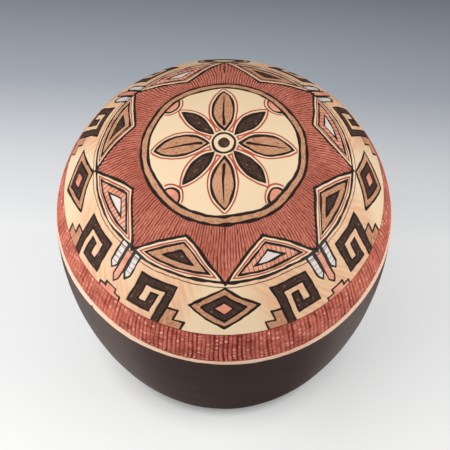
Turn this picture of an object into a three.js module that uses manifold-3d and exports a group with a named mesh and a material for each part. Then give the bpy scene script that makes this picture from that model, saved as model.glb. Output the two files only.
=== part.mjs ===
// A hand-built seed pot: a closed, nearly round jar of fired clay with one small mouth.
// It stands on a flat foot at z = 0, with +Z up. Its front faces -Y and its mouth is in the back of the dome.
// Each node is one stage of the building: a moulded base, walls laid up in coils, and the lip of the mouth.
import * as THREE from "three";
import { mergeVertices } from "three/addons/utils/BufferGeometryUtils.js";
import Module from "manifold-3d";

// Driving dimensions, in millimetres and degrees
const bodyDiameter = 165;
const widestHeight = 107.5;
const footDiameter = 109;
const footRounding = 2.5;
const lowerWallPower = 1.89; // how full the lower wall's curve is; 2 would be an ellipse
const shoulderRadius = 44; // the tight turn from the upright wall into the dome
const shoulderTurn = 30;
const wallThickness = 6;
const floorThickness = 8;
const baseHeight = 24;
const lowerWallHeight = 42;
const creamLineHeight = 3.5;
const redBandHeight = 17;
const redBandCut = 0.4; // how deep the band's field is cut back into the wall
const mouthBore = 12;
const lipWidth = 2.5;
const lipRounding = 1.4;
const lipClearance = 0.3; // between the lip and its seat in the dome
const seatMargin = 1.2; // wall left under the lip's seat, above the red band
const crownMargin = 5; // wall left over the lip's seat, below the crown
const roundSteps = 72;
const lipSteps = 40;

const bodyRadius = bodyDiameter / 2;
const footRadius = footDiameter / 2;
const turn = THREE.MathUtils.degToRad(shoulderTurn);

// The lower wall runs from the foot to the widest level on a curve that would reach the axis at this depth
const lowerWallReach =
  widestHeight / (1 - (footRadius / bodyRadius) ** lowerWallPower) ** (1 / lowerWallPower);

// The dome is a cap of a sphere that carries on from the end of the shoulder's turn
const shoulderCentre = bodyRadius - shoulderRadius;
const domeRadius = (shoulderCentre + shoulderRadius * Math.cos(turn)) / Math.cos(turn);
const domeCentre = widestHeight + (shoulderRadius - domeRadius) * Math.sin(turn);

const creamLineTop = widestHeight + creamLineHeight;
const redBandTop = creamLineTop + redBandHeight;

// The mouth is square to the dome, as low at the back as its seat can lie above the red band
const lipRadius = mouthBore / 2 + lipWidth;
const seatRadius = lipRadius + lipClearance;
const seatReach = domeRadius - wallThickness - 1;
const mouthTilt =
  Math.atan(seatRadius / seatReach) +
  Math.asin((redBandTop + seatMargin - domeCentre) / Math.hypot(seatRadius, seatReach));
const mouthPosition = new THREE.Vector3(
  0,
  domeRadius * Math.cos(mouthTilt),
  domeCentre + domeRadius * Math.sin(mouthTilt),
);
const mouthRotation = new THREE.Euler(mouthTilt - Math.PI / 2, 0, 0);
const crownSeam = mouthPosition.z + seatRadius * Math.cos(mouthTilt) + crownMargin;

// Radius and lean of the outer wall at a height below the widest level
function lowerWall(z) {
  const depth = Math.max(widestHeight - z, 0) / lowerWallReach;
  const rest = 1 - depth ** lowerWallPower;
  const radius = bodyRadius * rest ** (1 / lowerWallPower);
  const lean = (radius * depth ** (lowerWallPower - 1)) / (rest * lowerWallReach);
  return { radius, lean };
}

// Radius at a height on the shoulder and the dome, for a surface that lies inset from the outer one
function upperWall(z, inset) {
  const rise = z - widestHeight;
  if (rise <= (shoulderRadius - inset) * Math.sin(turn)) {
    return shoulderCentre + Math.sqrt((shoulderRadius - inset) ** 2 - rise ** 2);
  }
  return Math.sqrt((domeRadius - inset) ** 2 - (z - domeCentre) ** 2);
}

function outerRadius(z) {
  return z < widestHeight ? lowerWall(z).radius : upperWall(z, 0);
}

function innerRadius(z) {
  if (z >= widestHeight) return upperWall(z, wallThickness);
  const { radius, lean } = lowerWall(z);
  return radius - wallThickness * Math.hypot(1, lean);
}

// Points of a wall's surface from one height to another
function wallLine(radiusAt, from, to, steps) {
  const points = [];
  for (let i = 0; i <= steps; i++) {
    const z = THREE.MathUtils.lerp(from, to, i / steps);
    points.push(new THREE.Vector2(radiusAt(z), z));
  }
  return points;
}

// Points of a dome-shaped surface from a height up to the axis
function capLine(radius, from, steps) {
  const start = Math.asin((from - domeCentre) / radius);
  const points = [];
  for (let i = 0; i <= steps; i++) {
    const angle = THREE.MathUtils.lerp(start, Math.PI / 2, i / steps);
    const across = i === steps ? 0 : radius * Math.cos(angle);
    points.push(new THREE.Vector2(across, domeCentre + radius * Math.sin(angle)));
  }
  return points;
}

// A turned solid about the Z axis
function turned(outline, steps) {
  return new THREE.LatheGeometry(outline, steps).rotateX(Math.PI / 2);
}

// One course of the wall, with flat seams below and above
function courseOutline(from, to, steps, cut = 0) {
  const outside = wallLine((z) => outerRadius(z) - cut, from, to, steps);
  const inside = wallLine(innerRadius, to, from, steps);
  return [...outside, ...inside, outside[0].clone()];
}

// The base is a shallow dish: a flat foot with a softly rounded edge, a thick floor and the start of the wall
function baseOutline() {
  const corner = new THREE.QuadraticBezierCurve(
    new THREE.Vector2(footRadius - footRounding, 0),
    new THREE.Vector2(outerRadius(0), 0),
    new THREE.Vector2(outerRadius(footRounding), footRounding),
  );
  const outside = wallLine(outerRadius, footRounding, baseHeight, 4).slice(1);
  const bend = floorThickness + wallThickness;
  const inside = wallLine(innerRadius, baseHeight, bend, 3);
  const inner = new THREE.QuadraticBezierCurve(
    inside[inside.length - 1],
    new THREE.Vector2(innerRadius(floorThickness), floorThickness),
    new THREE.Vector2(innerRadius(bend) - 2 * wallThickness, floorThickness),
  );
  return [
    new THREE.Vector2(0, 0),
    ...corner.getPoints(3),
    ...outside,
    ...inside,
    ...inner.getPoints(3).slice(1),
    new THREE.Vector2(0, floorThickness),
  ];
}

// The crown closes the dome over the last coil
function crownOutline() {
  const outside = capLine(domeRadius, crownSeam, 7);
  const inside = capLine(domeRadius - wallThickness, crownSeam, 6).reverse();
  return [...inside, ...outside];
}

// How far a dome's surface drops below the mouth's place at a distance from the mouth's axis
function domeDrop(across, radius) {
  return Math.sqrt(radius ** 2 - across ** 2) - domeRadius;
}

// The lip is a ring round the bore, flush with the dome, with its inner edge rolled over
function lipOutline() {
  const bore = mouthBore / 2;
  const inside = domeRadius - wallThickness;
  const roll = new THREE.QuadraticBezierCurve(
    new THREE.Vector2(bore + lipRounding, domeDrop(bore + lipRounding, domeRadius)),
    new THREE.Vector2(bore, domeDrop(bore, domeRadius)),
    new THREE.Vector2(bore, domeDrop(bore, domeRadius) - lipRounding),
  );
  const outline = [
    new THREE.Vector2(bore, domeDrop(bore, inside)),
    new THREE.Vector2(lipRadius, domeDrop(lipRadius, inside)),
    new THREE.Vector2(lipRadius, domeDrop(lipRadius, domeRadius)),
    ...roll.getPoints(4),
  ];
  return [...outline, outline[0].clone()];
}

const wasm = await Module();
wasm.setup();

function solidOf(geometry) {
  const bare = geometry.clone();
  bare.deleteAttribute("normal");
  bare.deleteAttribute("uv");
  const merged = mergeVertices(bare, 1e-4);
  return new wasm.Manifold(
    new wasm.Mesh({
      numProp: 3,
      vertProperties: merged.attributes.position.array,
      triVerts: new Uint32Array(merged.index.array),
    }),
  );
}

function geometryOf(solid) {
  const { vertProperties, triVerts } = solid.getMesh();
  const geometry = new THREE.BufferGeometry();
  geometry.setAttribute("position", new THREE.BufferAttribute(vertProperties, 3));
  geometry.setIndex(new THREE.BufferAttribute(triVerts, 1));
  geometry.computeVertexNormals();
  return geometry;
}

// The dome's wall, with the seat of the lip cut through it square to its surface
function domeWallGeometry() {
  const wall = turned(courseOutline(redBandTop, crownSeam, 5), roundSteps);
  const cutter = new THREE.CylinderGeometry(seatRadius, seatRadius, 4 * wallThickness, lipSteps);
  const place = new THREE.Matrix4().compose(
    mouthPosition,
    new THREE.Quaternion().setFromEuler(mouthRotation),
    new THREE.Vector3(1, 1, 1),
  );
  cutter.rotateX(Math.PI / 2).applyMatrix4(place);
  return geometryOf(solidOf(wall).subtract(solidOf(cutter)));
}

const darkSlip = new THREE.MeshStandardMaterial({ color: 0x3b302e, roughness: 0.38, metalness: 0 });
const creamSlip = new THREE.MeshStandardMaterial({ color: 0xf0d7af, roughness: 0.55, metalness: 0 });
const redClay = new THREE.MeshStandardMaterial({ color: 0xa9574a, roughness: 0.85, metalness: 0 });

const pot = new THREE.Group();

function addNode(name, geometry, material, parent = pot) {
  const mesh = new THREE.Mesh(geometry, material);
  mesh.name = name;
  parent.add(mesh);
}

function course(from, to, steps, cut) {
  return turned(courseOutline(from, to, steps, cut), roundSteps);
}

const lowerWallTop = baseHeight + lowerWallHeight;
addNode("base", turned(baseOutline(), roundSteps), darkSlip);
addNode("lower_wall", course(baseHeight, lowerWallTop, 5), darkSlip);
addNode("upper_wall", course(lowerWallTop, widestHeight, 4), darkSlip);
addNode("cream_line", course(widestHeight, creamLineTop, 1), creamSlip);
addNode("red_band", course(creamLineTop, redBandTop, 3, redBandCut), redClay);
addNode("dome_wall", domeWallGeometry(), creamSlip);
addNode("crown", turned(crownOutline(), roundSteps), creamSlip);

const mouth = new THREE.Group();
mouth.position.copy(mouthPosition);
mouth.rotation.copy(mouthRotation);
pot.add(mouth);
addNode("mouth_lip", turned(lipOutline(), lipSteps), creamSlip, mouth);

export default pot;
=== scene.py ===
"""A hand-built clay seed pot with a polished body, a ribbed band and a carved and painted dome."""
import math
import bmesh
import bpy
import numpy as np
from mathutils import Euler, Matrix, Vector


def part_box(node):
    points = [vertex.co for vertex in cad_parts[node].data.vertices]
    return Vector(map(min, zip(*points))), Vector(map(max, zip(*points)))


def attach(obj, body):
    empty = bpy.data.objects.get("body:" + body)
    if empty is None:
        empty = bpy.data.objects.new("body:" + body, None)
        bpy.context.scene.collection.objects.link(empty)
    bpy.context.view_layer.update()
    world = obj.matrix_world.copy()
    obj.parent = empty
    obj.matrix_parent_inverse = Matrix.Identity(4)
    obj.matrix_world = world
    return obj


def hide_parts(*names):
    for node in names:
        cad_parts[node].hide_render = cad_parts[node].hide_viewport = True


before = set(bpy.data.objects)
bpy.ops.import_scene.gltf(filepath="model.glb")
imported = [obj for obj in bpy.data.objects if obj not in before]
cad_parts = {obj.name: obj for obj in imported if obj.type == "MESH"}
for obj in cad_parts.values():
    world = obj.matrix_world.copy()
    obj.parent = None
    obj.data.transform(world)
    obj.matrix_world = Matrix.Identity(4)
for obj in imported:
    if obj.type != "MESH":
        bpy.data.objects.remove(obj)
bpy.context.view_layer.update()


# The dark body
# The foot, the floor and the wall up to the widest level: coils of clay pinched together over a shallow
# dish, scraped even and coated with dark brown slip, which is rubbed with a smooth stone until it shines
# softly. It is one skin of clay, so one shell stands for the three stages that it was built in.

# Lengths are in millimetres, and become metres where a mesh or a material takes them
MM = 0.001
body_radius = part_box("upper_wall")[1].x / MM
widest_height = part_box("upper_wall")[1].z / MM
foot_radius = 54.5
foot_rounding = 2.5
wall_thickness = 6
floor_thickness = 8
body_steps = 480
body_rows = 110
sectors = 40
crisp_angle = math.radians(50)

# The lower wall follows a stretched circle, which would close on the axis at its reach below the widest
# level
lower_wall_power = 1.89
foot_share = (foot_radius / body_radius) ** lower_wall_power
lower_wall_reach = widest_height / (1 - foot_share) ** (1 / lower_wall_power)


def lower_wall(z):
    """Radius of the wall below the widest level, and how much it leans outwards"""
    depth = (widest_height - z) / lower_wall_reach
    rest = 1 - depth ** lower_wall_power
    radius = body_radius * rest ** (1 / lower_wall_power)
    return radius, radius * depth ** (lower_wall_power - 1) / (rest * lower_wall_reach)


def inner_wall(z):
    """Radius of the inside of the wall below the widest level"""
    radius, lean = lower_wall(z)
    return radius - wall_thickness * math.hypot(1, lean)


def curve(start, pull, end, steps):
    """Points of a rounded corner that is pulled towards its middle point"""
    points = []
    for t in np.linspace(0, 1, steps + 1):
        a, b, c = (1 - t) ** 2, 2 * t * (1 - t), t ** 2
        points.append((a * start[0] + b * pull[0] + c * end[0], a * start[1] + b * pull[1] + c * end[1]))
    return points


def turned_shell(outline, steps):
    """A closed shell turned about the pot's axis from (radius, height) points that run round the clay"""
    bm = bmesh.new()
    verts = [bm.verts.new((r * MM, 0, z * MM)) for r, z in outline]
    on_axis = outline[0][0] == 0
    pairs = zip(verts, verts[1:]) if on_axis else zip(verts, verts[1:] + verts[:1])
    edges = [bm.edges.new(pair) for pair in pairs]
    # One sector is turned and then repeated, which is far quicker than turning the whole shell
    bmesh.ops.spin(bm, geom=verts + edges, axis=(0, 0, 1), angle=math.tau / sectors, steps=steps // sectors)
    sector = bm.verts[:] + bm.edges[:] + bm.faces[:]
    bmesh.ops.spin(bm, geom=sector, axis=(0, 0, 1), angle=math.tau * (1 - 1 / sectors), steps=sectors - 1,
                   use_duplicate=True)
    bmesh.ops.remove_doubles(bm, verts=bm.verts, dist=0.001 * MM)
    bmesh.ops.recalc_face_normals(bm, faces=bm.faces)
    return bm


def smooth_off(bm):
    """Shades the clay as smooth, with crisp seams"""
    for edge in bm.edges:
        edge.smooth = edge.calc_face_angle(0) < crisp_angle
    for face in bm.faces:
        face.smooth = True


def piece_from(bm, name, *nodes):
    """Makes the mesh a piece that stands for the CAD nodes"""
    smooth_off(bm)
    mesh = bpy.data.meshes.new(name)
    bm.to_mesh(mesh)
    bm.free()
    piece = bpy.data.objects.new(name, mesh)
    bpy.context.scene.collection.objects.link(piece)
    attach(piece, "root")
    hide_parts(*nodes)
    return piece


def points_of(mesh):
    """A mesh's points in millimetres"""
    points = np.empty(len(mesh.vertices) * 3)
    mesh.vertices.foreach_get("co", points)
    return points.reshape(-1, 3) / MM


def place_points(mesh, points):
    """Puts a mesh's points at their places in millimetres"""
    mesh.vertices.foreach_set("co", (points * MM).ravel())
    mesh.update()


def wander(points, length, seed):
    """A smooth random value, mostly between -1 and 1, that changes over a length in millimetres"""
    rng = np.random.default_rng(seed)
    total = np.zeros(len(points))
    for _ in range(7):
        heading = rng.normal(size=3)
        heading *= math.tau / (length * rng.uniform(0.7, 1.6) * np.linalg.norm(heading))
        total += np.sin(points @ heading + rng.uniform(0, math.tau))
    return total / 3


# The outline runs out over the sole, up the outside of the wall, down its inside and in over the floor
bend_height = floor_thickness + wall_thickness
outline = [(0, 0), (foot_radius * 0.5, 0), (foot_radius - 6, 0)]
outline += curve((foot_radius - foot_rounding, 0), (lower_wall(0)[0], 0),
                 (lower_wall(foot_rounding)[0], foot_rounding), 8)
outline += [(lower_wall(z)[0], z) for z in np.linspace(foot_rounding, widest_height, body_rows)[1:]]
outline += [(inner_wall(z), z) for z in np.linspace(widest_height, bend_height, 12)]
outline += curve((inner_wall(bend_height), bend_height), (inner_wall(floor_thickness), floor_thickness),
                 (inner_wall(bend_height) - 2 * wall_thickness, floor_thickness), 6)[1:]
outline += [(0, floor_thickness)]
dark_body = piece_from(turned_shell(outline, body_steps), "dark_body", "base", "lower_wall", "upper_wall")

# The hand leaves the wall a little uneven, in long and short swells that die out at the seams
waviness = 0.22
long_swell = 55
short_swell = 18
points = points_of(dark_body.data)
flat = np.hypot(points[:, 0], points[:, 1])
outside = (flat > lower_wall(points[:, 2].clip(0, widest_height))[0] - 1) & (points[:, 2] > 0.01)
fade = np.sin(math.pi * (points[:, 2] / widest_height).clip(0, 1)) ** 0.5
swell = 0.7 * wander(points, long_swell, 1) + 0.3 * wander(points, short_swell, 2)
points[:, :2] *= (1 + waviness * fade * swell * outside / flat.clip(1))[:, None]
place_points(dark_body.data, points)


def colour(hex_code):
    """An sRGB hex colour as the linear colour that a shader takes"""
    channels = [int(hex_code[i:i + 2], 16) / 255 for i in (0, 2, 4)]
    return (*[c / 12.92 if c <= 0.04045 else ((c + 0.055) / 1.055) ** 2.4 for c in channels], 1)


def add(tree, kind, settings={}, inputs={}, output=0):
    """Adds a node with its settings, gives its inputs values or links, and returns one of its outputs"""
    node = tree.nodes.new("ShaderNode" + kind)
    for name, value in settings.items():
        setattr(node, name, value)
    for name, value in inputs.items():
        if isinstance(value, bpy.types.NodeSocket):
            tree.links.new(value, node.inputs[name])
        else:
            node.inputs[name].default_value = value
    return node.outputs[output] if node.outputs else None


def new_material(name):
    """An empty material, its tree, and the socket of its Object coordinates"""
    material = bpy.data.materials.new(name)
    material.use_nodes = True
    tree = material.node_tree
    tree.nodes.clear()
    return material, tree, add(tree, "TexCoord", output="Object")


# A Mix node of colours has them in its inputs 6 and 7 and gives the result as its output 2
COLOURS = {"data_type": "RGBA"}
UNDER, OVER, RESULT = 6, 7, 2


def coated(tree, ground, *coats):
    """A colour with coats over it, each of which gains strength up to its most as its value rises"""
    tone = colour(ground)
    for value, low, high, most, over in coats:
        strength = add(tree, "MapRange", {}, {"Value": value, "From Min": low, "From Max": high,
                                              "To Max": most})
        tone = add(tree, "Mix", COLOURS, {"Factor": strength, UNDER: tone, OVER: colour(over)}, RESULT)
    return tone


def hand_line(points, heights):
    """A value that changes freehand round the pot, from its values at a few directions in degrees"""
    turn = np.degrees(np.arctan2(points[:, 1], points[:, 0]))
    directions, levels = zip(*heights)
    softened = [np.interp(turn + shift, directions, levels, period=360) for shift in range(-6, 7, 2)]
    return np.mean(softened, axis=0)


# The dark slip was brushed up to a freehand edge, here as (direction, height), which has one small nick
slip_edge = ((20, 107.4), (90, 106.9), (150, 107.9), (190, 108.6), (216, 109.2), (224, 109.6), (231, 108.0),
             (250, 107.6), (266, 107.0), (280, 106.3), (308, 106.0), (318, 107.2), (330, 107.3))
nick_direction = 219.8
nick_width = 1.3
nick_height = 1.9
slip_softness = 0.12
blush_size = 16.7


def mark_slip_edge(piece):
    """Gives each point its height above the edge of the dark slip, in millimetres"""
    points = points_of(piece.data)
    level = hand_line(points, slip_edge) + 0.14 * wander(points, 9, 31) + 0.07 * wander(points, 3.5, 32)
    turn = np.arctan2(points[:, 1], points[:, 0])
    off = (turn - math.radians(nick_direction) + math.pi) % math.tau - math.pi
    level += nick_height * (1 - np.abs(off) * body_radius / nick_width).clip(0, 1)
    piece.data.attributes.new("above_slip", "FLOAT", "POINT").data.foreach_set("value", points[:, 2] - level)


def over_cream(tree, place, slip):
    """Dark slip below its edge, and above it the bare cream slip, with a faint blush of the fire"""
    height = add(tree, "Attribute", {"attribute_name": "above_slip"}, output="Fac")
    bare = add(tree, "MapRange", {"interpolation_type": "SMOOTHSTEP"},
               {"Value": height, "From Min": -slip_softness, "From Max": slip_softness})
    blush = add(tree, "TexNoise", {}, {"Vector": place, "Scale": 1 / (blush_size * MM), "Detail": 4})
    cream = coated(tree, "F2C2A2", (blush, 0.3, 0.7, 1, "F6DABC"))
    return add(tree, "Mix", COLOURS, {"Factor": bare, UNDER: slip, OVER: cream}, RESULT)


mark_slip_edge(dark_body)

# Stone-polished slip: dark brown clay, satin, with soft mottling. The stone was rubbed round the pot in
# level strokes, too fine to show one by one, so the shine spreads up and down from each light. The iron in
# the clay makes the shine stronger than a plain clay's, and a little warm. The sole is bare.
mottle_size = 22.2
stroke_length = 33
stroke_height = 1.9
stroke_relief = 0.03
sole_low, sole_high = 0.3 * MM, 1.6 * MM
well_rubbed, less_rubbed, unrubbed = 0.56, 0.64, 0.85
body_slip, tree, place = new_material("stone_polished_dark_slip")
mottle = add(tree, "TexNoise", {}, {"Vector": place, "Scale": 1 / (mottle_size * MM), "Detail": 5,
                                    "Roughness": 0.6})
stretch = (1 / (stroke_length * MM), 1 / (stroke_length * MM), 1 / (stroke_height * MM))
stroke_place = add(tree, "Mapping", {}, {"Vector": place, "Scale": stretch})
strokes = add(tree, "TexNoise", {}, {"Vector": stroke_place, "Scale": 1, "Detail": 4})
slip = coated(tree, "1B0704", (mottle, 0.25, 0.75, 1, "30120B"), (strokes, 0.4, 0.8, 0.2, "381C13"))
height = add(tree, "SeparateXYZ", {}, {0: place}, "Z")
off_sole = add(tree, "MapRange", {}, {"Value": height, "From Min": sole_low, "From Max": sole_high})
tone = add(tree, "Mix", COLOURS, {"Factor": off_sole, UNDER: colour("6B4A3A"), OVER: slip}, RESULT)
tone = over_cream(tree, place, tone)
polish = add(tree, "MapRange", {}, {"Value": strokes, "From Min": 0.3, "From Max": 0.7,
                                    "To Min": well_rubbed, "To Max": less_rubbed})
shine = add(tree, "MapRange", {}, {"Value": height, "From Min": sole_low, "From Max": sole_high,
                                   "To Min": unrubbed, "To Max": polish})
relief = add(tree, "Bump", {}, {"Height": strokes, "Distance": stroke_relief * MM, "Strength": 0.25})
skin = add(tree, "BsdfPrincipled", {}, {"Base Color": tone, "Roughness": shine, "Normal": relief,
                                        "IOR": 1.7, "Anisotropic": 0.95, "Anisotropic Rotation": 0.25,
                                        "Specular Tint": colour("FFF0E8")})
add(tree, "OutputMaterial", {}, {"Surface": skin})
dark_body.data.materials.append(body_slip)


# The cream line
# A narrow strip of the wall between the dark slip and the cut band, where the cream slip was left alone.
# The dark slip was painted up to it by hand, and the band's carving has nicked its upper edge.
line_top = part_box("cream_line")[1].z / MM
line_steps = 1440
line_rows = 8
edge_round = 0.3

# The shoulder turns in a tight arc, and the dome carries on from it as a cap of a sphere
shoulder_radius = 44
shoulder_turn = math.radians(30)
dome_radius = (body_radius - shoulder_radius * (1 - math.cos(shoulder_turn))) / math.cos(shoulder_turn)
dome_centre = widest_height + (shoulder_radius - dome_radius) * math.sin(shoulder_turn)


def upper_wall(z, inset=0):
    """Radius of the shoulder and the dome at a height, for a skin inset from the outer one"""
    rise = z - widest_height
    if rise <= (shoulder_radius - inset) * math.sin(shoulder_turn):
        return body_radius - shoulder_radius + math.sqrt((shoulder_radius - inset) ** 2 - rise ** 2)
    return math.sqrt((dome_radius - inset) ** 2 - (z - dome_centre) ** 2)


round_start = line_top - edge_round
top_radius = upper_wall(line_top)
outline = [(upper_wall(z), z) for z in np.linspace(widest_height, round_start, line_rows + 1)]
outline += curve((upper_wall(round_start), round_start), (top_radius, line_top),
                 (top_radius - edge_round, line_top), 3)[1:]
outline += [(top_radius - 1, line_top)]
outline += [(upper_wall(z, wall_thickness), z) for z in (line_top, widest_height)]
cream_strip = piece_from(turned_shell(outline, line_steps), "cream_strip", "cream_line")

# The band above was cut freehand, so the line is wider on the left and right than at the front
cut_edge = ((10, 112), (90, 110.8), (150, 111.5), (195, 113.6), (216, 114.1), (229, 113.0), (236, 111.8),
            (247, 110.4), (260, 109.3), (275, 108.9), (297, 108.9), (310, 110.2), (322, 111.5), (333, 112.7),
            (350, 112.7))


def cut_line(points):
    """Height of the band's lower edge"""
    level = points * (1, 1, 0)
    return hand_line(points, cut_edge) + 0.1 * wander(level, 9, 3) + 0.06 * wander(level, 3, 33)


def slide(points, outside, heights):
    """Moves points of the outer skin to new heights, along the wall's curve"""
    flat = np.hypot(points[:, 0], points[:, 1])
    radius = flat + np.vectorize(upper_wall)(heights) - np.vectorize(upper_wall)(points[:, 2])
    points[outside, :2] *= (radius / flat)[outside, None]
    points[outside, 2] = heights[outside]


points = points_of(cream_strip.data)
outside = np.hypot(points[:, 0], points[:, 1]) > body_radius - 2
share = (points[:, 2] - widest_height) / (line_top - widest_height)
slide(points, outside, widest_height + share * (cut_line(points) - widest_height))
place_points(cream_strip.data, points)
mark_slip_edge(cream_strip)

# Cream slip, polished: warm and pale, with the upper edge of the dark slip on it
cream_slip, tree, place = new_material("polished_cream_slip")
tone = over_cream(tree, place, colour("2E211C"))
skin = add(tree, "BsdfPrincipled", {}, {"Base Color": tone, "Roughness": 0.5, "IOR": 1.5})
add(tree, "OutputMaterial", {}, {"Surface": skin})
cream_strip.data.materials.append(cream_slip)


# The red band
# A strip of the wall whose slip was cut away with a knife, down to brick-red clay, in upright ribs that
# short cross cuts break into beads. It is left matt, and it lies a little below the skin on either side.
band_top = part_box("red_band")[1].z / MM
band_depth = 0.8
band_crest = 0.2
band_ribs = 240
band_steps = 1760
band_rows = 43
chips_per_rib = 12

outline = [(upper_wall(z) - band_crest, z) for z in np.linspace(line_top, band_top, band_rows + 1)]
outline += [(upper_wall(z, wall_thickness), z) for z in np.linspace(band_top, line_top, 4)]
ribbed_band = piece_from(turned_shell(outline, band_steps), "ribbed_band", "red_band")


def smooth_step(values, low, high):
    """Rises softly from 0 at the low value to 1 at the high one"""
    t = ((values - low) / (high - low)).clip(0, 1)
    return t * t * (3 - 2 * t)


# The knife went in deeper at the front than at the sides, here as (direction, share of the full depth).
# The band's colour follows its cuts, so this also paints the front darker and the sides lighter, as painted
# shade for how the light falls
knife_force_and_shade = ((20, 0.75), (90, 0.8), (160, 0.6), (200, 0.4), (222, 0.45), (246, 0.75), (270, 0.9),
               (300, 0.68), (320, 0.52), (345, 0.5))

rng = np.random.default_rng(7)
points = points_of(ribbed_band.data)
flat = np.hypot(points[:, 0], points[:, 1])
outside = flat > np.vectorize(upper_wall)(points[:, 2]) - 1
share = (band_top - points[:, 2]) / (band_top - line_top)
slide(points, outside, band_top + share * (cut_line(points) - band_top))
flat = np.hypot(points[:, 0], points[:, 1])
turn = np.arctan2(points[:, 1], points[:, 0])
count = (turn / math.tau + 0.5) * band_ribs + 0.22 * wander(points, 26, 4) + 0.07 * wander(points, 7, 5)

# Each groove is cut in one or two strokes, so it deepens and fades on its way down
force_and_shade = hand_line(points, knife_force_and_shade)
groove = np.round(count).astype(int) % band_ribs
stroke_share = points[:, 2] / rng.uniform(14, 30, band_ribs)[groove] + rng.uniform(0, 1, band_ribs)[groove]
stroke = 0.8 + 0.2 * np.sin(math.tau * stroke_share)
groove_depth = force_and_shade * rng.uniform(0.4, 1.0, band_ribs)[groove] * stroke
across = np.abs(count - np.round(count))
cut = groove_depth * np.exp(-(across / rng.uniform(0.12, 0.26, band_ribs)[groove]) ** 2)

# The band is cut deeper all along the top, and its colour is painted dark there, as a painted shadow under
# the step down from the dome
cut = np.maximum(cut, 0.8 * smooth_step(points[:, 2], band_top - 0.9, band_top - 0.3))

# Short cuts across the ribs leave a row of chips on each
rib = np.floor(count).astype(int) % band_ribs
along = (points[:, 2] - line_top) / rng.uniform(1.5, 3.4, band_ribs)[rib] + rng.uniform(0, 1, band_ribs)[rib]
chip = np.floor(along).astype(int) % chips_per_rib
chip_height = rng.uniform(0.5, 1.0, (band_ribs, chips_per_rib))[rib, chip]
chip_round = np.sin(math.pi * (along % 1)) ** 0.4
beads = 1 - 0.45 * force_and_shade * (1 - chip_height * chip_round)
worn = 0.25 * force_and_shade * smooth_step(wander(points, 5, 8), 0.5, 1.1)
band_height = (beads * (1 - cut) - worn).clip(0, 1)
push = np.where(outside, -(1 - band_height) * (band_depth - band_crest), 0)
points[:, :2] *= (1 + push / flat)[:, None]
place_points(ribbed_band.data, points)

# The shader reads how high the clay stands, how deep the groove is and how freshly each chip was cut, and
# paints a highlight on the high clay and shade down in the grooves
freshness = rng.uniform(0, 1, (band_ribs, chips_per_rib))[rib, chip] * chip_round * (1 - cut)
looks = np.column_stack((band_height, cut, freshness))
ribbed_band.data.attributes.new("cuts", "FLOAT_VECTOR", "POINT").data.foreach_set("vector", looks.ravel())

# Cut brick-red clay: matt, with painted shade down in the cuts and a painted highlight where the clay stands
# high, and paler where the knife chipped the tops of the beads
grit_size = 1.11
grit_relief = 0.12
patch_size = 9.1
band_clay, tree, place = new_material("cut_red_clay")
cuts = add(tree, "Attribute", {"attribute_name": "cuts"}, output="Vector")
crest_highlight, groove_shade, fresh = add(tree, "SeparateXYZ", {}, {0: cuts}).node.outputs
grit = add(tree, "TexNoise", {}, {"Vector": place, "Scale": 1 / (grit_size * MM), "Detail": 3,
                                  "Roughness": 0.7})
patch = add(tree, "TexNoise", {}, {"Vector": place, "Scale": 1 / (patch_size * MM), "Detail": 3})
fleck = add(tree, "Math", {"operation": "MULTIPLY"}, {0: fresh, 1: grit})
tone = coated(tree, "842A20", (crest_highlight, 0.5, 1, 1, "DE7E67"), (patch, 0.45, 0.75, 0.75, "803022"),
              (fleck, 0.38, 0.48, 0.8, "F0B8A0"), (groove_shade, 0.2, 0.8, 1, "5C1E14"))
relief = add(tree, "Bump", {}, {"Height": grit, "Distance": grit_relief * MM, "Strength": 0.8})
skin = add(tree, "BsdfPrincipled", {}, {"Base Color": tone, "Roughness": 0.85, "Normal": relief,
                                        "Specular IOR Level": 0.3})
add(tree, "OutputMaterial", {}, {"Surface": skin})
ribbed_band.data.materials.append(band_clay)


# The wall of the dome
# The last coils, drawn in over the shoulder and coated with cream slip. The design is drawn, cut along its
# outlines with a fine knife, scraped out where it is tan, white or dark, ribbed where it is brick red, and
# painted.
crown_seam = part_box("crown")[0].z / MM
dome_steps = 1160
dome_rows = 72

# The mouth is square to the dome at the back, as low as its seat can lie above the red band
lip_radius = 8.5
lip_clearance = 0.3
seat_radius = lip_radius + lip_clearance
seat_margin = 1.2
seat_reach = dome_radius - wall_thickness - 1
mouth_tilt = math.atan(seat_radius / seat_reach)
mouth_tilt += math.asin((band_top + seat_margin - dome_centre) / math.hypot(seat_radius, seat_reach))
mouth_level = dome_centre + dome_radius * math.sin(mouth_tilt)
mouth_spot = Vector((0, dome_radius * math.cos(mouth_tilt), mouth_level))
mouth_place = Matrix.LocRotScale(mouth_spot * MM, Euler((mouth_tilt - math.pi / 2, 0, 0)), None)

band_angle = math.asin((band_top - dome_centre) / dome_radius)
seam_angle = math.asin((crown_seam - dome_centre) / dome_radius)
outline = [(dome_radius * math.cos(a), dome_centre + dome_radius * math.sin(a))
           for a in np.linspace(band_angle, seam_angle, dome_rows + 1)]
outline += [(upper_wall(z, wall_thickness), z) for z in np.linspace(crown_seam, band_top, 6)]
dome_shell = turned_shell(outline, dome_steps)

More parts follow.
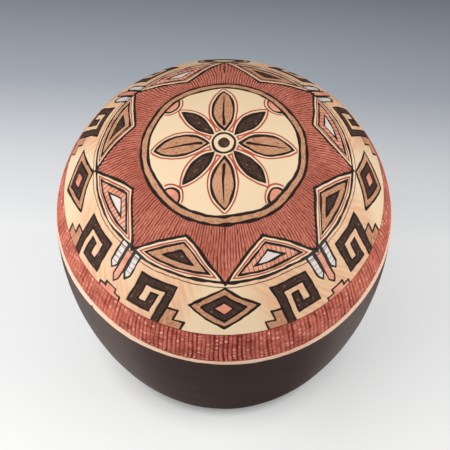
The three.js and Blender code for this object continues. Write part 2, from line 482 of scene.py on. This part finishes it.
cutter = bmesh.new()
bmesh.ops.create_cone(cutter, cap_ends=True, segments=120, radius1=lip_radius * MM, radius2=lip_radius * MM,
                      depth=4 * wall_thickness * MM, matrix=mouth_place)
hole_mesh = bpy.data.meshes.new("mouth_hole")
cutter.to_mesh(hole_mesh)
cutter.free()
hole = bpy.data.objects.new("mouth_hole", hole_mesh)
bpy.context.scene.collection.objects.link(hole)
painted_dome = piece_from(dome_shell, "painted_dome", "dome_wall")
mouth_cut = painted_dome.modifiers.new("mouth", "BOOLEAN")
mouth_cut.operation = "DIFFERENCE"
mouth_cut.solver = "MANIFOLD"
mouth_cut.object = hole
bpy.context.view_layer.update()
cut_mesh = bpy.data.meshes.new_from_object(painted_dome.evaluated_get(bpy.context.evaluated_depsgraph_get()))
painted_dome.modifiers.clear()
painted_dome.data = cut_mesh
cut_mesh.materials.clear()
bpy.data.objects.remove(hole)

# The slivers that the cut leaves are closed up, and its rim is made crisp
bm = bmesh.new()
bm.from_mesh(cut_mesh)
bmesh.ops.dissolve_degenerate(bm, dist=0.02 * MM, edges=bm.edges)
smooth_off(bm)
bm.to_mesh(cut_mesh)
bm.free()


def polygon(x, y, corners):
    """Distance from the edge of a polygon, negative inside it"""
    nearest = np.full(len(x), np.inf)
    inside = np.zeros(len(x), bool)
    for (ax, ay), (bx, by) in zip(corners, corners[1:] + corners[:1]):
        ex, ey = bx - ax, by - ay
        px, py = x - ax, y - ay
        along = np.clip((px * ex + py * ey) / (ex * ex + ey * ey), 0, 1)
        nearest = np.minimum(nearest, np.hypot(px - along * ex, py - along * ey))
        if ay != by:
            inside ^= ((y >= ay) != (y >= by)) & (x < ax + py * ex / ey)
    return np.where(inside, -nearest, nearest)


def taper(x, y, start, end, start_width, end_width):
    """Distance from the edge of a straight stroke that changes in width"""
    ex, ey = end[0] - start[0], end[1] - start[1]
    px, py = x - start[0], y - start[1]
    along = np.clip((px * ex + py * ey) / (ex * ex + ey * ey), 0, 1)
    return np.hypot(px - along * ex, py - along * ey) - (start_width + (end_width - start_width) * along) / 2


def petal(x, y, start, end, width):
    """Distance from the edge of a pointed petal that points away from the top"""
    radius = ((end - start) ** 2 / width + width) / 4
    return np.hypot(np.abs(x) + radius - width / 2, y - (start + end) / 2) - radius


def square_path(x, y, path, width):
    """Distance from the edge of a stroke with square corners, along level and upright stretches"""
    nearest = np.full(len(x), np.inf)
    for (ax, ay), (bx, by) in zip(path, path[1:]):
        aside = np.abs(x - (ax + bx) / 2) - (abs(bx - ax) + width) / 2
        below = np.abs(y - (ay + by) / 2) - (abs(by - ay) + width) / 2
        nearest = np.minimum(nearest, np.maximum(aside, below))
    return nearest


def turned_from(turn, centre):
    """Angle from a centre line in degrees, as radians between -pi and pi"""
    return (turn - math.radians(centre) + math.pi) % math.tau - math.pi


# The design's colours, a distance beyond which no edge matters, and the direction of the front
LAYERS = ("peach", "salmon", "brick", "tan", "white", "dark", "red_line", "hairline", "outline")
FAR = 9.0
front = 270


class Design:
    """The design on the dome, as distances in millimetres from the edges of each colour at given points"""

    def __init__(self, points):
        self.points = points
        self.layers = {kind: np.full(len(points), FAR) for kind in LAYERS}
        self.grain = np.zeros((len(points), 2))
        flat = np.hypot(points[:, 0], points[:, 1])
        turn = np.arctan2(points[:, 1], points[:, 0])
        # The drawing hand wanders a little, in long and short swings, and the pen's line swells and thins
        self.down = dome_radius * np.arctan2(flat, points[:, 2] - dome_centre)
        self.down += 0.4 * wander(points, 19, 11) + 0.09 * wander(points, 4, 12)
        self.turn = turn + (0.45 * wander(points, 20, 13) + 0.09 * wander(points, 4, 14)) / flat.clip(2)
        self.across = dome_radius * np.sin(self.down / dome_radius)
        self.pen = 1 + 0.25 * wander(points, 8, 15)
        self.from_front = turned_from(self.turn, front)

    def fill(self, kind, distance, along=None, across=None):
        """Fills a shape with a colour, whose scratches run along it, given distances along and across"""
        self.layers[kind] = np.minimum(self.layers[kind], distance)
        if along is not None:
            inside = distance < 0.4
            self.grain[inside, 0] = along[inside]
            self.grain[inside, 1] = across[inside]

    def clear(self, kind, distance):
        """Leaves a shape free of a colour"""
        self.layers[kind] = np.maximum(self.layers[kind], -distance)

    def outline(self, distance, width=1.25):
        """Draws the black outline of a shape"""
        self.fill("outline", np.abs(distance) - width * self.pen / 2)

    def from_top(self, centre):
        """Distances across and away from the top, for shapes that point outwards from it"""
        off = turned_from(self.turn, centre)
        return self.down * np.sin(off), self.down * np.cos(off)

    def on_wall(self, centre):
        """Distances to the right of a centre line and down from the top, for shapes that stand upright"""
        return self.across * turned_from(self.turn, centre), self.down


# A petal is given as (distance of its tip from the top, width)
sun_radius = 3.1
sun_ring = 5.6
petal_start = 7.6
long_petal = (33.4, 10.6)
short_petal = (28, 6.6)
vein_start, vein_end = 11, 29
bud_radius = 4.4
red_line_width, red_line_gap = 0.8, 1.7
ring_radius = 36.8
ring_width = 3.8
ring_gap = 1.2


def rosette(d):
    """Eight petals round a small sun, drawn round with a red line, inside a ring"""
    d.fill("dark", d.down - sun_radius, d.down, d.down)
    d.outline(d.down - sun_ring, 1.1)
    nearest = d.down - sun_ring
    for k in range(8):
        x, y = d.from_top(45 * k)
        long = k % 2 == 0
        leaf = petal(x, y, petal_start, *(long_petal if long else short_petal))
        d.fill("tan" if long else "dark", leaf, y, x)
        d.outline(leaf)
        nearest = np.minimum(nearest, leaf)
        if long:
            d.fill("outline", taper(x, y, (0, vein_start), (0, vein_end), 1.5, 0.5))
        else:
            bud = np.maximum(np.hypot(x, y - ring_radius) - bud_radius, d.down - ring_radius)
            d.fill("salmon", bud)
            d.outline(bud, 1.1)
            nearest = np.minimum(nearest, bud)
    red_line = np.abs(nearest - red_line_gap) - red_line_width / 2
    d.fill("red_line", np.maximum(red_line, d.down - ring_radius + ring_gap))
    d.outline(d.down - ring_radius, 1.4)
    ring = np.abs(d.down - ring_radius - ring_width / 2) - ring_width / 2
    d.fill("tan", ring, ring_radius * np.abs(d.from_front), d.down)
    d.outline(d.down - ring_radius - ring_width, 1.3)


frieze_top = 67.4
star_reach = frieze_top + 1
star_valley = 48
line_inset, triangle_inset, heart_inset = 1.9, 3.2, 6.6
triangle_reach = 24
hatch_spacing, hatch_width = 2.3, 0.44


def star(d):
    """A ribbed red star of eight points round the ring, with nested triangles between its points"""
    x, y = d.from_top(0)
    corners = []
    for k in range(8):
        for turn, reach in ((45 * k, star_reach), (45 * k + 22.5, star_valley)):
            corners.append((reach * math.sin(math.radians(turn)), reach * math.cos(math.radians(turn))))
    points = polygon(x, y, corners)
    red = np.maximum(points, ring_radius + ring_width - d.down)
    d.fill("brick", red, d.down, 55 * np.abs(d.from_front))
    d.outline(red, 1.4)

    def nested(inset):
        return np.maximum(inset - points, d.down - frieze_top + inset)

    d.fill("red_line", np.abs(nested(line_inset)) - red_line_width / 2)
    d.outline(nested(triangle_inset), 1.2)
    d.outline(nested(heart_inset), 1.0)
    for k in range(8):
        x, y = d.from_top(22.5 + 45 * k)
        here = np.abs(x) - triangle_reach
        outer = np.maximum(here, nested(triangle_inset))
        inner = np.maximum(here, nested(heart_inset))
        if k % 2:
            d.fill("tan", outer, y, x)
            d.fill("dark", inner, y, x)
        else:
            d.fill("salmon", outer)
            for i in range(-6, 7):
                hatch = np.abs(x - hatch_spacing * i) - hatch_width / 2
                d.fill("hairline", np.maximum(hatch, outer))
            d.clear("hairline", inner)
            d.fill("white", inner)


# Corners are given as (across, down from the top), and the frieze ends at the band
lozenge_level = 80.6
lozenge_size, core_size, heart_size = (17, 10.6), (11, 6.9), (5, 3.2)
disc_level = lozenge_level - 1
disc_radius, disc_core = 12.4, 9.6
frieze_end = 99
hook_path = ((27.4, frieze_end), (27.4, 75.4), (12.6, 75.4), (12.6, 88.6), (20.4, 88.6), (20.4, 82.2))
stair = [(29.3, frieze_end), (29.3, 85), (34.4, 85), (34.4, 90), (39.4, 90), (39.4, frieze_end)]
pendant_spacing, pendant_width, pendant_point = 4.6, 3.8, 2.8
stripe_start, stripe_spacing, stripe_width = 70.6, 2.5, 0.4
wash_reach, wash_fade = 38, 0.02
mound = [(-7, frieze_end), (-7, 92.4), (-3.4, 92.4), (-3.4, 89.8), (3.4, 89.8), (3.4, 92.4), (7, 92.4),
         (7, frieze_end)]


def lozenge(x, y, across, down):
    """Distance from the edge of a lozenge, from its middle to its corners across and down"""
    return polygon(x, y - lozenge_level, [(-across, 0), (0, -down), (across, 0), (0, down)])


def frieze(d):
    """Below a ring: lozenges on the four sides, and between them pairs of square hooks with pendants"""
    d.outline(d.down - frieze_top, 1.4)
    d.fill("hairline", np.abs(d.down - frieze_top - 2.2) - 0.28)
    for k in range(4):
        x, y = d.on_wall(90 * k)
        # At the back a disc takes the place of the lozenge, and the mouth opens in its middle
        at_back = k == 1
        if at_back:
            outer = np.hypot(x, y - disc_level) - disc_radius
            core = np.hypot(x, y - disc_level) - disc_core
        else:
            outer = lozenge(x, y, *lozenge_size)
            core = lozenge(x, y, *core_size)
            heart = lozenge(x, y, *heart_size)
        d.fill("tan", outer, x, y)
        d.outline(outer, 1.3)
        d.fill("dark", core, x, y)
        d.outline(core, 1.1)
        if not at_back:
            d.clear("dark", heart)
            d.clear("tan", heart)
            d.fill("salmon", heart)
            d.outline(heart, 0.9)
    for k in range(4):
        x, y = d.on_wall(45 + 90 * k)
        # A wash of peach lies behind each pair of hooks, and fades out towards the lozenges
        wash = np.maximum(wash_fade * (np.abs(x) - wash_reach), frieze_top - d.down)
        d.fill("peach", wash, 0.8 * y + 0.6 * x, 0.8 * x - 0.6 * y)
        for side in (-1, 1):
            hook = square_path(side * x, y, hook_path, 3.8)
            d.fill("dark", hook, y, x)
            d.outline(hook, 1.0)
            steps = polygon(side * x, y, stair)
            d.fill("tan", steps, y, x)
            d.outline(steps, 1.1)
        for i, (kind, end) in enumerate((("white", 79), ("salmon", 84), ("white", 79))):
            a = pendant_spacing * (i - 1)
            left, right = a - pendant_width / 2, a + pendant_width / 2
            bar = polygon(x, y, [(left, frieze_top), (right, frieze_top), (right, end),
                                 (a, end + pendant_point), (left, end)])
            d.fill(kind, bar)
            d.outline(bar, 1.0)
            if kind == "white":
                for h in range(4):
                    stripe = np.abs(y - stripe_start - stripe_spacing * h) - stripe_width / 2
                    d.fill("hairline", np.maximum(stripe, bar))
        hill = polygon(x, y, mound)
        d.fill("salmon", hill)
        d.outline(hill, 1.0)


dome_ribs = 216
scrape_depth, dark_depth, line_depth = 0.22, 0.16, 0.3
rib_floor, rib_top = 0.6, 0.1


def decorate(piece):
    """Cuts the design into the outer skin of a piece of the dome, and gives its points the colours' edges"""
    points = points_of(piece.data)
    away = points - (0, 0, dome_centre)
    reach = np.linalg.norm(away, axis=1)
    skin = reach > dome_radius - 0.9
    d = Design(points[skin])
    rosette(d)
    star(d)
    frieze(d)

    # The ribs of the star are cut like the band's, each groove in a few strokes of uneven depth
    count = np.abs(d.from_front) / math.tau * dome_ribs + 0.5
    count += 0.22 * wander(d.points, 20, 21) + 0.06 * wander(d.points, 6, 22)
    groove = (np.floor(count).astype(int) + (d.from_front > 0) * dome_ribs // 2) % dome_ribs
    rng = np.random.default_rng(21)
    stroke_share = d.down / rng.uniform(9, 22, dome_ribs)[groove] + rng.uniform(0, 1, dome_ribs)[groove]
    stroke = smooth_step(np.sin(math.tau * stroke_share), -0.9, -0.2)
    depth = rng.uniform(0.6, 1.0, dome_ribs)[groove] * (0.65 + 0.35 * stroke)
    depth = (depth + 0.08 * wander(d.points, 4, 24)).clip(0.08, 1)
    rib = 1 - depth * np.exp(-((count % 1 - 0.5) / 0.2) ** 2)

    # How deep each part is cut, fading out where the skin ends
    ribbed = rib_floor - (rib_floor - rib_top) * rib
    sunk = scrape_depth * smooth_step(-np.minimum(d.layers["tan"], d.layers["white"]), 0, 0.5)
    sunk = np.maximum(sunk, dark_depth * smooth_step(-d.layers["dark"], 0, 0.5))
    sunk = np.maximum(sunk, ribbed * smooth_step(-d.layers["brick"], 0, 0.6))
    sunk = np.maximum(sunk, line_depth * smooth_step(-d.layers["outline"], -0.15, 0.4))
    sunk *= smooth_step(reach[skin], dome_radius - 0.3, dome_radius - 0.1)
    points[skin] -= away[skin] / reach[skin, None] * sunk[:, None]
    place_points(piece.data, points)

    def keep(name, *columns):
        values = np.full((len(points), 3), FAR)
        values[skin, :len(columns)] = np.column_stack(columns)
        piece.data.attributes.new(name, "FLOAT_VECTOR", "POINT").data.foreach_set("vector", values.ravel())

    keep("washes", d.layers["peach"], d.layers["salmon"], d.layers["brick"])
    keep("scrapes", d.layers["tan"], d.layers["white"], d.layers["dark"])
    keep("lines", d.layers["outline"], d.layers["red_line"], d.layers["hairline"])
    keep("ribs", count, depth)
    keep("grain", *d.grain.T)


decorate(painted_dome)

# Cream slip over clay, cut and painted: satin where the slip was polished, matt and scratched where it was
# scraped away. Paint is brushed on thin, and the scratches of the scraping run along each shape.
scratch_length, scratch_width = 2.86, 0.385
brush_length, brush_width = 25, 1.82
streak_length, streak_width = 18.2, 6.25
cloud_size = 26.3
speck_size = 1.43
fine_grit_size = 0.91
fine_grit_relief = 0.12
painted, tree, place = new_material("cut_and_painted_slip")


def masks(attribute, softness):
    """1 inside each of the three colours that an attribute holds the edges of, 0 outside"""
    edges = add(tree, "Attribute", {"attribute_name": attribute}, output="Vector")
    parts = add(tree, "SeparateXYZ", {}, {0: edges}).node.outputs
    return [add(tree, "MapRange", {"interpolation_type": "SMOOTHSTEP"},
                {"Value": part, "From Min": softness, "From Max": -softness}) for part in parts]


peach, salmon, brick = masks("washes", 0.15)
tan, white, dark = masks("scrapes", 0.1)
outline_mask, red_line, hairline = masks("lines", 0.12)

# How far down into a rib's groove each point lies, for the painted shade in the grooves
ribs = add(tree, "Attribute", {"attribute_name": "ribs"}, output="Vector")
rib_count, rib_depth, _ = add(tree, "SeparateXYZ", {}, {0: ribs}).node.outputs
across_rib = add(tree, "Math", {"operation": "FRACT"}, {0: rib_count})
from_ridge = add(tree, "Math", {"operation": "PINGPONG"}, {0: across_rib, 1: 0.5})
groove = add(tree, "MapRange", {"interpolation_type": "SMOOTHSTEP"},
             {"Value": from_ridge, "From Min": 0.24, "From Max": 0.46})
groove = add(tree, "Math", {"operation": "MULTIPLY"}, {0: groove, 1: rib_depth})

grain = add(tree, "Attribute", {"attribute_name": "grain"}, output="Vector")
stretch = (1 / scratch_length, 1 / scratch_width, 1)
scratch_place = add(tree, "Mapping", {}, {"Vector": grain, "Scale": stretch})
fibre = add(tree, "TexNoise", {}, {"Vector": scratch_place, "Scale": 1, "Detail": 4, "Roughness": 0.7})
stretch = (1 / brush_length, 1 / brush_width, 1)
brush_place = add(tree, "Mapping", {}, {"Vector": grain, "Scale": stretch})
brushed = add(tree, "TexNoise", {}, {"Vector": brush_place, "Scale": 1, "Detail": 4, "Roughness": 0.6})
stretch = (1 / (streak_length * MM), 1 / (streak_width * MM), 1 / (streak_width * MM))
streak_place = add(tree, "Mapping", {}, {"Vector": place, "Scale": stretch, "Rotation": (0.3, 0.5, 0.6)})
streak = add(tree, "TexNoise", {}, {"Vector": streak_place, "Scale": 1, "Detail": 4})
cloud = add(tree, "TexNoise", {}, {"Vector": place, "Scale": 1 / (cloud_size * MM), "Detail": 4})
speck = add(tree, "TexNoise", {}, {"Vector": place, "Scale": 1 / (speck_size * MM), "Detail": 2})
grit = add(tree, "TexNoise", {}, {"Vector": place, "Scale": 1 / (fine_grit_size * MM), "Detail": 3,
                                  "Roughness": 0.7})

tone = coated(tree, "EACDA3", (cloud, 0, 1, 1, "F3DBB9"))
thin_paint = coated(tree, "EFC79C", (brushed, 0.36, 0.64, 1, "E2AB88"), (cloud, 0.5, 0.75, 1, "EFCDA2"))
salmon_paint = coated(tree, "DB8568", (streak, 0.35, 0.65, 1, "EDA98C"))
scraped_tan = coated(tree, "A56F4C", (fibre, 0.38, 0.6, 1, "D8A17C"), (speck, 0.58, 0.72, 0.7, "754A34"),
                     (cloud, 0.5, 0.7, 0.5, "DFA88A"))
# The ribbed red is painted darker down each groove, as painted shade over the carved ribs
ribbed_red_with_groove_shade = coated(tree, "A34A38", (fibre, 0.38, 0.6, 1, "DB8B73"), (cloud, 0.45, 0.7, 0.6, "9C4636"),
                    (groove, 0.1, 0.85, 1, "5C190F"))
chalk_white = coated(tree, "DACDC4", (speck, 0, 1, 1, "EAE0D8"))
scratched_dark = coated(tree, "2C1A12", (fibre, 0.42, 0.66, 1, "5B4033"), (cloud, 0.5, 0.68, 0.6, "4E2E1C"),
                        (speck, 0.62, 0.74, 0.7, "957866"))
pen_black = coated(tree, "140B08", (speck, 0, 1, 1, "291813"))
for mask, over in ((peach, thin_paint), (salmon, salmon_paint), (tan, scraped_tan), (brick, ribbed_red_with_groove_shade),
                   (white, chalk_white), (dark, scratched_dark), (red_line, colour("B5483A")),
                   (hairline, colour("6A4A3A")), (outline_mask, pen_black)):
    tone = add(tree, "Mix", COLOURS, {"Factor": mask, UNDER: tone, OVER: over}, RESULT)

cut_away = add(tree, "Math", {"operation": "MAXIMUM"}, {0: tan, 1: brick})
cut_away = add(tree, "Math", {"operation": "MAXIMUM"}, {0: cut_away, 1: dark})
shine = add(tree, "MapRange", {}, {"Value": cut_away, "To Min": 0.5, "To Max": unrubbed})
rough = add(tree, "Math", {"operation": "MULTIPLY"}, {0: grit, 1: cut_away})
relief = add(tree, "Bump", {}, {"Height": rough, "Distance": fine_grit_relief * MM, "Strength": 0.7})
skin = add(tree, "BsdfPrincipled", {}, {"Base Color": tone, "Roughness": shine, "Normal": relief,
                                        "Specular IOR Level": 0.28})
add(tree, "OutputMaterial", {}, {"Surface": skin})
painted_dome.data.materials.append(painted)


# The crown
# The pad of clay that closes the dome over the last coil, worked smooth into it, so that slip and design
# run on over the join without a break.
seam_reach = dome_radius * (math.pi / 2 - seam_angle)
crown_cells = dome_steps // 4
inner_skin = dome_radius - wall_thickness


def on_dome(turn, angle, radius):
    """The point of a dome-shaped skin in a direction from the axis and at an angle from the top"""
    flat = radius * math.sin(angle)
    level = dome_centre + radius * math.cos(angle)
    return Vector((flat * math.cos(turn), flat * math.sin(turn), level)) * MM


bm = bmesh.new()
bmesh.ops.create_grid(bm, x_segments=crown_cells, y_segments=crown_cells, size=1)
for vert in bm.verts:
    x, y = vert.co.x, vert.co.y
    # Each square ring of the grid becomes a circle, so that the cells stay alike from the seam to the top
    out = max(abs(x), abs(y))
    if out == 0:
        turn = 0
    elif abs(x) >= abs(y):
        turn = math.pi / 4 * y / x + (math.pi if x < 0 else 0)
    else:
        turn = math.pi / 2 - math.pi / 4 * x / y + (math.pi if y < 0 else 0)
    vert.co = on_dome(turn, out * seam_reach / dome_radius, dome_radius)
inner_angle = math.acos((crown_seam - dome_centre) / inner_skin)
rim = [edge for edge in bm.edges if edge.is_boundary]
for share in (1, 0.75, 0.5, 0.25, 0):
    made = bmesh.ops.extrude_edge_only(bm, edges=rim)["geom"]
    for vert in (v for v in made if isinstance(v, bmesh.types.BMVert)):
        vert.co = on_dome(math.atan2(vert.co.y, vert.co.x), inner_angle * share, inner_skin)
    rim = [edge for edge in made if isinstance(edge, bmesh.types.BMEdge)]
bmesh.ops.remove_doubles(bm, verts=bm.verts, dist=0.001 * MM)
bmesh.ops.recalc_face_normals(bm, faces=bm.faces)
painted_crown = piece_from(bm, "painted_crown", "crown")
decorate(painted_crown)
painted_crown.data.materials.append(painted)


# The lip of the mouth
# The small last coil, pressed into the dome round a finger-wide hole and smoothed off flush, with its
# inner edge rolled over. It sits inside a dark part of the design.
bore_radius = 6
lip_rolling = 1.4
lip_steps = 120


def dome_drop(across, radius=dome_radius):
    """How far a dome lies below the mouth's place at a distance from the mouth's axis"""
    return math.sqrt(radius ** 2 - across ** 2) - dome_radius


rolled = bore_radius + lip_rolling
outline = [(r, dome_drop(r, inner_skin)) for r in (bore_radius, lip_radius)]
outline += [(r, dome_drop(r)) for r in np.linspace(lip_radius, rolled + 0.4, 3)]
outline += curve((rolled, dome_drop(rolled)), (bore_radius, dome_drop(bore_radius)),
                 (bore_radius, dome_drop(bore_radius) - lip_rolling), 6)
outline += [(bore_radius, level) for level in (-3.5, -5)]
bm = turned_shell(outline, lip_steps)
bmesh.ops.transform(bm, matrix=mouth_place, verts=bm.verts)
rolled_lip = piece_from(bm, "rolled_lip", "mouth_lip")
decorate(rolled_lip)
rolled_lip.data.materials.append(painted)


# The table
# A wide sheet of backdrop paper, measured in metres. Its colour is painted shade: palest round the pot, it
# falls off to grey in front of the camera, to the right and most of all behind the pot, as a sweep of paper
# does that the lamps don't reach.
table_radius = 3
floor_mesh = bpy.data.meshes.new("table")
bm = bmesh.new()
bmesh.ops.create_circle(bm, cap_ends=True, segments=96, radius=table_radius)
bm.to_mesh(floor_mesh)
bm.free()
table = bpy.data.objects.new("table", floor_mesh)
bpy.context.scene.collection.objects.link(table)

# Painted shades of the paper as (metres behind the pot's axis, colour), slightly askew to the right
nearest_shade, farthest_shade = -0.5, 0.6
askew_share = 0.06
shades = ((-0.23, "B0B2B5"), (-0.09, "FCFCFB"), (0.05, "F4F5F5"), (0.094, "DADCDF"), (0.145, "A2A8B0"),
          (0.22, "686E77"), (0.27, "565C65"))
paper, tree, place = new_material("pale_backdrop_paper")
right, behind, _ = add(tree, "SeparateXYZ", {}, {0: place}).node.outputs
askew = add(tree, "Math", {"operation": "MULTIPLY_ADD"}, {0: right, 1: askew_share, 2: behind})
way_back = add(tree, "MapRange", {}, {"Value": askew, "From Min": nearest_shade, "From Max": farthest_shade})
fall = add(tree, "ValToRGB", {}, {"Fac": way_back})
ramp = fall.node.color_ramp
ramp.elements[0].color = colour("989A9E")
ramp.elements[1].color = colour("8C8F95")
for reach, shade in shades:
    stop = ramp.elements.new((reach - nearest_shade) / (farthest_shade - nearest_shade))
    stop.color = colour(shade)

# Painted shade darkens it a little towards the right, and a painted contact shadow darkens a narrow ring
# round the foot
side_reach, side_shade = 0.4, 0.75
contact_start, contact_end, contact_shade = 0.0535, 0.06, 0.45
aside = add(tree, "MapRange", {}, {"Value": right, "From Min": 0, "From Max": side_reach,
                                   "To Min": 1, "To Max": side_shade})
from_axis = add(tree, "VectorMath", {"operation": "LENGTH"}, {0: place}, "Value")
painted_contact_shadow = add(tree, "MapRange", {}, {"Value": from_axis, "From Min": contact_start,
                                     "From Max": contact_end, "To Min": contact_shade, "To Max": 1})
painted_darkening = add(tree, "Math", {"operation": "MULTIPLY"}, {0: aside, 1: painted_contact_shadow})
shade = add(tree, "Mix", {"data_type": "RGBA", "blend_type": "MULTIPLY"},
            {"Factor": 1, UNDER: fall, OVER: painted_darkening}, RESULT)

# For the light that it throws back on to the pot, the paper is painted darker close in front of the pot and
# to the right, a painted shade where it lies in deep shade; the camera sees it without this shade
shade_spot = (0.03, -0.07, 0)
deep_end, shade_end, deep_shade = 0.02, 0.09, 0.1
seen = add(tree, "LightPath", output="Is Camera Ray")
from_spot = add(tree, "VectorMath", {"operation": "DISTANCE"}, {0: place, 1: shade_spot}, "Value")
thrown = add(tree, "MapRange", {}, {"Value": from_spot, "From Min": deep_end, "From Max": shade_end,
                                    "To Min": deep_shade, "To Max": 1})
thrown = add(tree, "Mix", {"data_type": "RGBA", "blend_type": "MULTIPLY"},
             {"Factor": 1, UNDER: shade, OVER: thrown}, RESULT)
paper_tone = add(tree, "Mix", COLOURS, {"Factor": seen, UNDER: thrown, OVER: shade}, RESULT)
shaded = add(tree, "BsdfDiffuse", {}, {"Color": paper_tone})

# The camera sees a share of the paper at its own even colour, which keeps the pot's shadow soft except
# right at the foot and on the right
left_share, right_share, turn_reach = 0.6, 0.3, 0.06
shadow_start, shadow_end = 0.055, 0.071
softest = add(tree, "MapRange", {}, {"Value": right, "From Min": 0, "From Max": turn_reach,
                                     "To Min": left_share, "To Max": right_share})
even_share = add(tree, "MapRange", {}, {"Value": from_axis, "From Min": shadow_start, "From Max": shadow_end,
                                        "To Min": 0, "To Max": softest})
even = add(tree, "Emission", {}, {"Color": shade})
seen = add(tree, "Math", {"operation": "MULTIPLY"}, {0: seen, 1: even_share})
surface = add(tree, "MixShader", {}, {0: seen, 1: shaded, 2: even})
add(tree, "OutputMaterial", {}, {"Surface": surface})
floor_mesh.materials.append(paper)


# The light and the camera
# Soft boxes stand low to the left and right of the pot and high behind it, the strongest on the left. The
# studio glows from its ceiling and is dim low down. A long lens looks down on the pot from the front.
dim_below, bright_above = 0.1, 0.48
dim_glow, bright_glow = 0.12, 0.69
sky = bpy.data.worlds.new("studio")
sky.use_nodes = True
tree = sky.node_tree
tree.nodes.clear()
towards_sky = add(tree, "TexCoord", output="Generated")
upward = add(tree, "SeparateXYZ", {}, {0: towards_sky}, "Z")
glow = add(tree, "MapRange", {}, {"Value": upward, "From Min": dim_below, "From Max": bright_above,
                                  "To Min": dim_glow, "To Max": bright_glow})
background = add(tree, "Background", {}, {"Color": colour("F6F6F6"), "Strength": glow})
add(tree, "OutputWorld", {}, {"Surface": background})
bpy.context.scene.world = sky

# Each soft box has its place and width in metres and its power in watts, and is aimed at the pot
lit_spot = Vector((0, 0, 0.08))
for name, spot, size, power in (("left_soft_box", (-1.27, -0.42, 0.45), 1.2, 16.5),
                                ("right_soft_box", (1.3, -0.33, 0.68), 0.85, 10.5),
                                ("top_soft_box", (-0.1, 0.6, 1.3), 1.1, 3)):
    lamp = bpy.data.lights.new(name, "AREA")
    lamp.size = size
    lamp.energy = power
    stand = bpy.data.objects.new(name, lamp)
    stand.location = spot
    stand.rotation_euler = (lit_spot - stand.location).to_track_quat("-Z", "Y").to_euler()
    bpy.context.scene.collection.objects.link(stand)

# The view was fitted to the outline of the pot in the photograph: the middle of the widest level lies at
# (224, 213.6) in its 450 by 450 pixels, seen from 60 degrees above level
image_size = 450
view_height = math.radians(60)
view_distance = 1155
middle_across, middle_down = 224, 213.6
focal_pixels = 2345
camera_data = bpy.data.cameras.new("camera")
camera = bpy.data.objects.new("camera", camera_data)
camera_data.lens = focal_pixels / image_size * camera_data.sensor_width
middle = Vector((0, 0, widest_height))
towards = Vector((0, -math.cos(view_height), math.sin(view_height)))
upwards = Vector((0, math.sin(view_height), math.cos(view_height)))
camera.location = (middle + towards * view_distance) * MM
aim = middle + Vector((1, 0, 0)) * (image_size / 2 - middle_across) * view_distance / focal_pixels
aim -= upwards * (image_size / 2 - middle_down) * view_distance / focal_pixels
camera.rotation_euler = (aim * MM - camera.location).to_track_quat("-Z", "Y").to_euler()
bpy.context.scene.collection.objects.link(camera)
bpy.context.scene.camera = camera
bpy.context.scene.view_settings.view_transform = "Standard"
